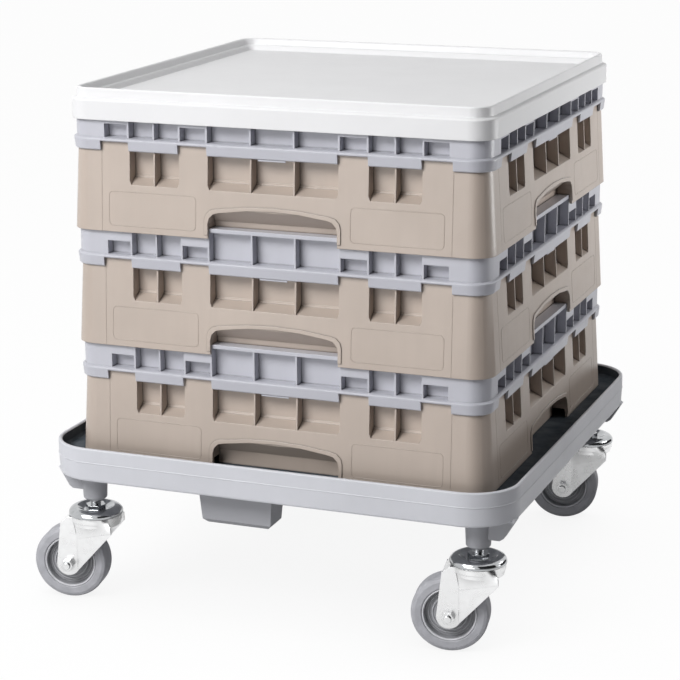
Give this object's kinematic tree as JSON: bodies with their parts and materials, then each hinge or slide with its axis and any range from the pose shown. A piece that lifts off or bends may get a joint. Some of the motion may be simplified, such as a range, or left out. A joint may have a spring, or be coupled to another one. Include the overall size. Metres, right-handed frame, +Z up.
{
  "type": "glass rack dolly",
  "caption": "Square tray dolly on swivel casters carrying a stack of lidded, compartmented glass racks with finger pockets and arched hand holds.",
  "frame": {"origin": "on the floor under the centre of the overall plan outline", "axes": "+Z up, -Y towards the front, +X to the right of someone who faces the front"},
  "size_m": [0.5936, 0.564, 0.61],
  "materials": {
    "dolly_plastic": "moulded, fine grain",
    "rack_plastic": "moulded, satin beige",
    "extender_plastic": "moulded, satin grey",
    "lid_plastic": "moulded, satin white",
    "zinc_steel": "bright zinc plate",
    "bright_steel": "bright plate",
    "core_plastic": "moulded, matt grey",
    "grey_rubber": "non-marking grey rubber"
  },
  "bodies": {
    "dolly": {"dolly_tray": "dolly_plastic", "front_left_stem": "bright_steel", "front_left_race_cap": "bright_steel", "front_right_stem": "bright_steel", "front_right_race_cap": "bright_steel", "back_left_stem": "bright_steel", "back_left_race_cap": "bright_steel", "back_right_stem": "bright_steel", "back_right_race_cap": "bright_steel"},
    "front_left_caster": {"front_left_fork": "zinc_steel", "front_left_axle_bolt": "bright_steel", "front_left_axle_nut": "bright_steel"},
    "front_left_wheel": {"front_left_wheel_core": "core_plastic", "front_left_tyre": "grey_rubber"},
    "front_right_caster": {"front_right_fork": "zinc_steel", "front_right_axle_bolt": "bright_steel", "front_right_axle_nut": "bright_steel"},
    "front_right_wheel": {"front_right_wheel_core": "core_plastic", "front_right_tyre": "grey_rubber"},
    "back_left_caster": {"back_left_fork": "zinc_steel", "back_left_axle_bolt": "bright_steel", "back_left_axle_nut": "bright_steel"},
    "back_left_wheel": {"back_left_wheel_core": "core_plastic", "back_left_tyre": "grey_rubber"},
    "back_right_caster": {"back_right_fork": "zinc_steel", "back_right_axle_bolt": "bright_steel", "back_right_axle_nut": "bright_steel"},
    "back_right_wheel": {"back_right_wheel_core": "core_plastic", "back_right_tyre": "grey_rubber"},
    "lower_rack": {"lower_rack_base_front": "rack_plastic", "lower_rack_base_right": "rack_plastic", "lower_rack_base_back": "rack_plastic", "lower_rack_base_left": "rack_plastic", "lower_rack_floor": "rack_plastic", "lower_rack_dividers": "extender_plastic", "lower_rack_extender_front": "extender_plastic", "lower_rack_extender_right": "extender_plastic", "lower_rack_extender_back": "extender_plastic", "lower_rack_extender_left": "extender_plastic"},
    "middle_rack": {"middle_rack_base_front": "rack_plastic", "middle_rack_base_right": "rack_plastic", "middle_rack_base_back": "rack_plastic", "middle_rack_base_left": "rack_plastic", "middle_rack_floor": "rack_plastic", "middle_rack_dividers": "extender_plastic", "middle_rack_extender_front": "extender_plastic", "middle_rack_extender_right": "extender_plastic", "middle_rack_extender_back": "extender_plastic", "middle_rack_extender_left": "extender_plastic"},
    "upper_rack": {"upper_rack_base_front": "rack_plastic", "upper_rack_base_right": "rack_plastic", "upper_rack_base_back": "rack_plastic", "upper_rack_base_left": "rack_plastic", "upper_rack_floor": "rack_plastic", "upper_rack_dividers": "extender_plastic", "upper_rack_extender_front": "extender_plastic", "upper_rack_extender_right": "extender_plastic", "upper_rack_extender_back": "extender_plastic", "upper_rack_extender_left": "extender_plastic"},
    "lid": {"lid": "lid_plastic"}
  },
  "joints": [
    {"name": "front_left_swivel", "type": "hinge", "parent": "dolly", "child": "front_left_caster", "pos_m": [-0.22219, -0.237, 0.1], "axis": [0, 0, 1], "continuous": true},
    {"name": "front_left_roll", "type": "hinge", "parent": "front_left_caster", "child": "front_left_wheel", "pos_m": [-0.25174, -0.24221, 0.044], "axis": [-0.1736, 0.9848, 0], "continuous": true},
    {"name": "front_right_swivel", "type": "hinge", "parent": "dolly", "child": "front_right_caster", "pos_m": [0.25181, -0.237, 0.1], "axis": [0, 0, 1], "continuous": true},
    {"name": "front_right_roll", "type": "hinge", "parent": "front_right_caster", "child": "front_right_wheel", "pos_m": [0.22226, -0.24221, 0.044], "axis": [-0.1736, 0.9848, 0], "continuous": true},
    {"name": "back_left_swivel", "type": "hinge", "parent": "dolly", "child": "back_left_caster", "pos_m": [-0.22219, 0.237, 0.1], "axis": [0, 0, 1], "continuous": true},
    {"name": "back_left_roll", "type": "hinge", "parent": "back_left_caster", "child": "back_left_wheel", "pos_m": [-0.25174, 0.23179, 0.044], "axis": [-0.1736, 0.9848, 0], "continuous": true},
    {"name": "back_right_swivel", "type": "hinge", "parent": "dolly", "child": "back_right_caster", "pos_m": [0.25181, 0.237, 0.1], "axis": [0, 0, 1], "continuous": true},
    {"name": "back_right_roll", "type": "hinge", "parent": "back_right_caster", "child": "back_right_wheel", "pos_m": [0.22226, 0.23179, 0.044], "axis": [-0.1736, 0.9848, 0], "continuous": true},
    {"name": "lower_rack_lift", "type": "slide", "parent": "dolly", "child": "lower_rack", "axis": [0, 0, 1], "range_m": [0, 0.2]},
    {"name": "middle_rack_lift", "type": "slide", "parent": "lower_rack", "child": "middle_rack", "axis": [0, 0, 1], "range_m": [0, 0.2]},
    {"name": "upper_rack_lift", "type": "slide", "parent": "middle_rack", "child": "upper_rack", "axis": [0, 0, 1], "range_m": [0, 0.2]},
    {"name": "lid_lift", "type": "slide", "parent": "upper_rack", "child": "lid", "axis": [0, 0, 1], "range_m": [0, 0.1]}
  ]
}
